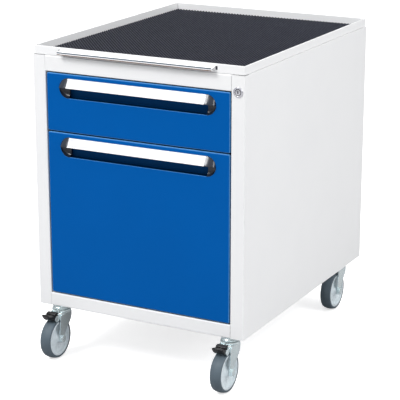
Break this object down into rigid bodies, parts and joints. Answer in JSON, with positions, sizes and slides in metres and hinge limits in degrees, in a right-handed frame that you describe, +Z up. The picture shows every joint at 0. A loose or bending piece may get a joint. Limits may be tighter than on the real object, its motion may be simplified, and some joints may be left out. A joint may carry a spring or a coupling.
{
  "type": "mobile drawer pedestal",
  "caption": "Mobile steel drawer cabinet with a rimmed, matted top tray, a shallow and a deep drawer, a cylinder lock and swivel castors with foot brakes in front.",
  "frame": {"origin": "on the floor, below the middle of the object's bounding box", "axes": "+Z up, the drawers open towards -Y, +X to the right seen from the front"},
  "size_m": [0.55, 0.755, 0.764],
  "materials": {
    "carcass_paint": "light grey powder coat, satin",
    "front_paint": "gentian blue powder coat, satin",
    "box_paint": "light grey powder coat",
    "mat_rubber": "fine ribbed rubber",
    "zinc_plate": "zinc-plated steel",
    "castor_zinc": "bright zinc-plated pressed steel",
    "bearing_steel": "oiled steel",
    "lock_chrome": "polished chrome",
    "grip_aluminium": "white lacquered aluminium profile",
    "label_card": "blank white label",
    "black_plastic": "black moulded plastic",
    "rim_plastic": "light grey moulded plastic",
    "tyre_grey": "grey thermoplastic rubber"
  },
  "bodies": {
    "root": {"side_panel_left": "carcass_paint", "side_panel_right": "carcass_paint", "back_panel": "carcass_paint", "bottom_panel": "carcass_paint", "roof_panel": "carcass_paint", "top_rail": "carcass_paint", "bottom_rail": "carcass_paint", "top_tray": "carcass_paint", "ribbed_mat": "mat_rubber", "runner_brackets": "zinc_plate", "cabinet_runners": "zinc_plate", "lock_housing": "lock_chrome", "lock_nut": "zinc_plate", "locking_bar_guides": "zinc_plate", "castor_mounting_plates": "castor_zinc", "castor_heads": "castor_zinc", "castor_swivel_bearings": "bearing_steel", "castor_bolts": "castor_zinc", "castor_nuts": "castor_zinc"},
    "upper_drawer": {"upper_drawer_front": "front_paint", "upper_drawer_box": "box_paint", "upper_front_screws": "zinc_plate", "upper_handle_grip": "grip_aluminium", "upper_label_strip": "label_card", "upper_handle_caps": "black_plastic", "upper_latch_stud": "zinc_plate", "upper_drawer_runners": "zinc_plate"},
    "upper_slides": {"upper_middle_runners": "zinc_plate"},
    "lower_drawer": {"lower_drawer_front": "front_paint", "lower_drawer_box": "box_paint", "lower_front_screws": "zinc_plate", "lower_handle_grip": "grip_aluminium", "lower_label_strip": "label_card", "lower_handle_caps": "black_plastic", "lower_latch_stud": "zinc_plate", "lower_drawer_runners": "zinc_plate"},
    "lower_slides": {"lower_middle_runners": "zinc_plate"},
    "lock_barrel": {"lock_plug": "lock_chrome", "lock_cam": "zinc_plate"},
    "lock_bar": {"locking_bar": "zinc_plate"},
    "fork_front_left": {"fork_front_left": "castor_zinc", "axle_front_left": "castor_zinc"},
    "wheel_front_left": {"rim_front_left": "rim_plastic", "tyre_front_left": "tyre_grey"},
    "brake_front_left": {"brake_rocker_front_left": "castor_zinc", "brake_pedal_front_left": "black_plastic"},
    "fork_front_right": {"fork_front_right": "castor_zinc", "axle_front_right": "castor_zinc"},
    "wheel_front_right": {"rim_front_right": "rim_plastic", "tyre_front_right": "tyre_grey"},
    "brake_front_right": {"brake_rocker_front_right": "castor_zinc", "brake_pedal_front_right": "black_plastic"},
    "fork_rear_left": {"fork_rear_left": "castor_zinc", "axle_rear_left": "castor_zinc"},
    "wheel_rear_left": {"rim_rear_left": "rim_plastic", "tyre_rear_left": "tyre_grey"},
    "fork_rear_right": {"fork_rear_right": "castor_zinc", "axle_rear_right": "castor_zinc"},
    "wheel_rear_right": {"rim_rear_right": "rim_plastic", "tyre_rear_right": "tyre_grey"}
  },
  "joints": [
    {"name": "upper_drawer_slide", "type": "slide", "parent": "root", "child": "upper_drawer", "axis": [0, -1, 0], "range_m": [0, 0.56]},
    {"name": "upper_runner_slide", "type": "slide", "parent": "root", "child": "upper_slides", "axis": [0, -1, 0], "range_m": [0, 0.28]},
    {"name": "lower_drawer_slide", "type": "slide", "parent": "root", "child": "lower_drawer", "axis": [0, -1, 0], "range_m": [0, 0.56]},
    {"name": "lower_runner_slide", "type": "slide", "parent": "root", "child": "lower_slides", "axis": [0, -1, 0], "range_m": [0, 0.28]},
    {"name": "lock_turn", "type": "hinge", "parent": "root", "child": "lock_barrel", "pos_m": [0.258, -0.3125, 0.706], "axis": [0, 1, 0], "range_deg": [0, 90]},
    {"name": "lock_bar_lift", "type": "slide", "parent": "root", "child": "lock_bar", "axis": [0, 0, 1], "range_m": [0, 0.01]},
    {"name": "swivel_front_left", "type": "hinge", "parent": "root", "child": "fork_front_left", "pos_m": [-0.2295, -0.2975, 0.117], "axis": [0, 0, 1], "continuous": true},
    {"name": "wheel_front_left_spin", "type": "hinge", "parent": "fork_front_left", "child": "wheel_front_left", "pos_m": [-0.2295, -0.3275, 0.05], "axis": [1, 0, 0], "continuous": true},
    {"name": "brake_front_left_tilt", "type": "hinge", "parent": "fork_front_left", "child": "brake_front_left", "pos_m": [-0.2295, -0.3245, 0.107], "axis": [1, 0, 0], "range_deg": [-8, 0]},
    {"name": "swivel_front_right", "type": "hinge", "parent": "root", "child": "fork_front_right", "pos_m": [0.2295, -0.2975, 0.117], "axis": [0, 0, 1], "continuous": true},
    {"name": "wheel_front_right_spin", "type": "hinge", "parent": "fork_front_right", "child": "wheel_front_right", "pos_m": [0.2295, -0.3275, 0.05], "axis": [1, 0, 0], "continuous": true},
    {"name": "brake_front_right_tilt", "type": "hinge", "parent": "fork_front_right", "child": "brake_front_right", "pos_m": [0.2295, -0.3245, 0.107], "axis": [1, 0, 0], "range_deg": [-8, 0]},
    {"name": "swivel_rear_left", "type": "hinge", "parent": "root", "child": "fork_rear_left", "pos_m": [-0.2295, 0.3315, 0.117], "axis": [0, 0, 1], "continuous": true},
    {"name": "wheel_rear_left_spin", "type": "hinge", "parent": "fork_rear_left", "child": "wheel_rear_left", "pos_m": [-0.2295, 0.3015, 0.05], "axis": [1, 0, 0], "continuous": true},
    {"name": "swivel_rear_right", "type": "hinge", "parent": "root", "child": "fork_rear_right", "pos_m": [0.2295, 0.3315, 0.117], "axis": [0, 0, 1], "continuous": true},
    {"name": "wheel_rear_right_spin", "type": "hinge", "parent": "fork_rear_right", "child": "wheel_rear_right", "pos_m": [0.2295, 0.3015, 0.05], "axis": [1, 0, 0], "continuous": true}
  ],
  "couplings": [
    {"joint": "upper_runner_slide", "follows": "upper_drawer_slide", "ratio": 0.5},
    {"joint": "lower_runner_slide", "follows": "lower_drawer_slide", "ratio": 0.5},
    {"joint": "lock_turn", "follows": "lock_bar_lift", "rad_per_m": 157.07}
  ]
}
